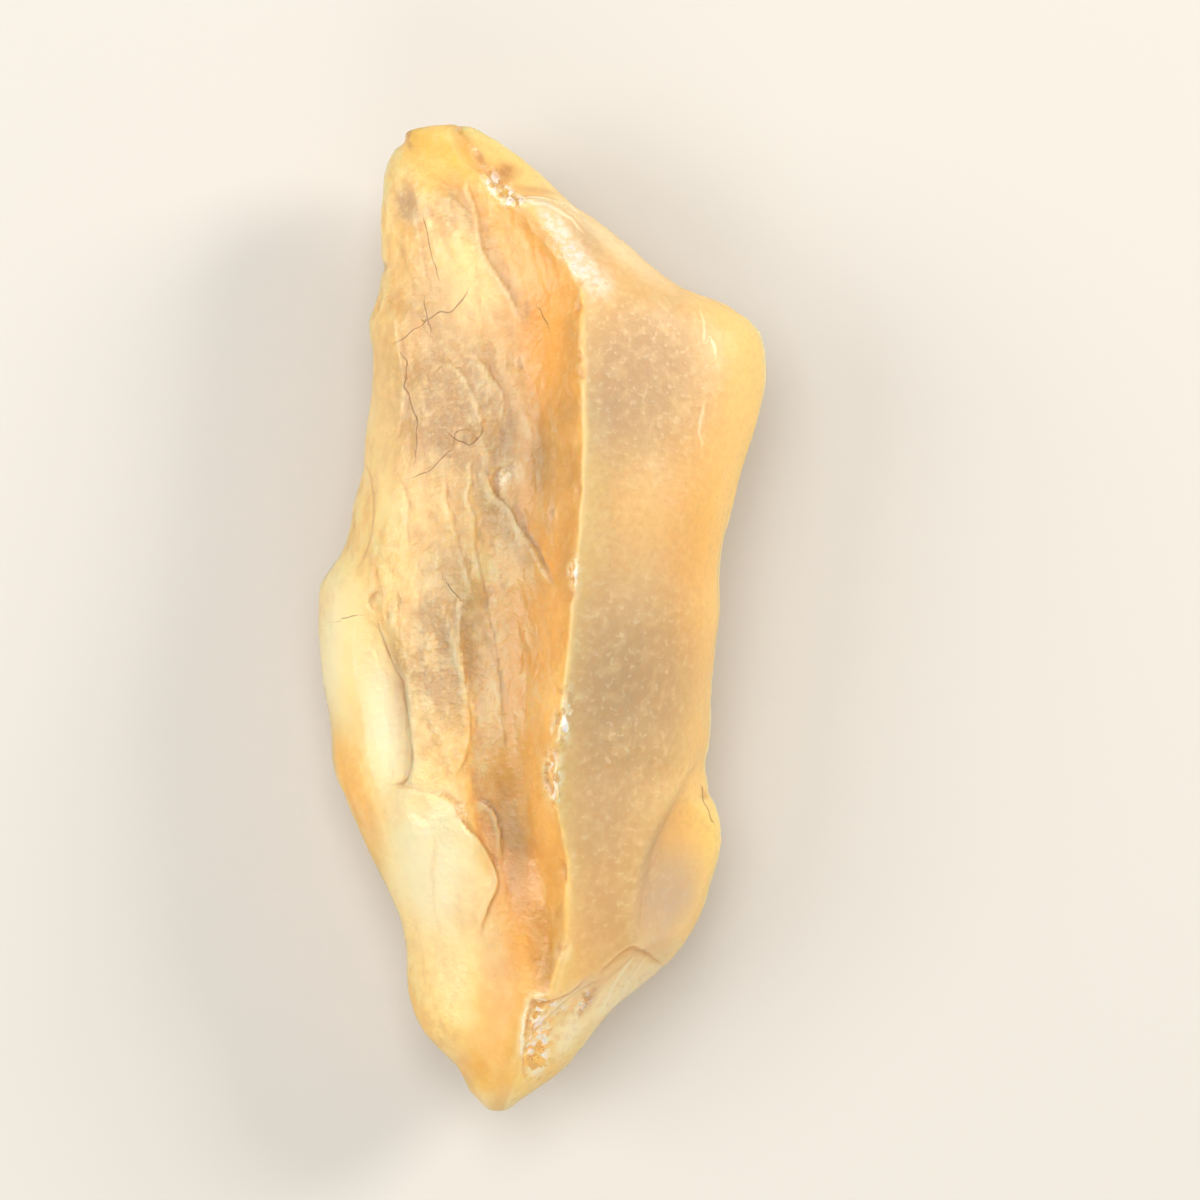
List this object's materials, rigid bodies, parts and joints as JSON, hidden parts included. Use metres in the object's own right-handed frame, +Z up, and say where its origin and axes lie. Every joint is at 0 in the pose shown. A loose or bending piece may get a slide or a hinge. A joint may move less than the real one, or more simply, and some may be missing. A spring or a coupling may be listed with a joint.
{
  "type": "libyan desert glass",
  "caption": "Wind-worn shard of honey-yellow natural glass, with a long ridge between a frosted face and a flaky face, lying on a small flat on its back",
  "frame": {"origin": "under the middle of the shard, on the surface that it rests on", "axes": "+Y along the shard to its broken top end, +Z up out of its ridged face, +X to the frosted side of that face"},
  "size_m": [0.0228, 0.05, 0.013],
  "materials": {
    "desert_glass": "frosted and cloudy, wind-worn, with a few bright fresh chips"
  },
  "bodies": {
    "root": {"glass_shard": "desert_glass"}
  },
  "joints": []
}
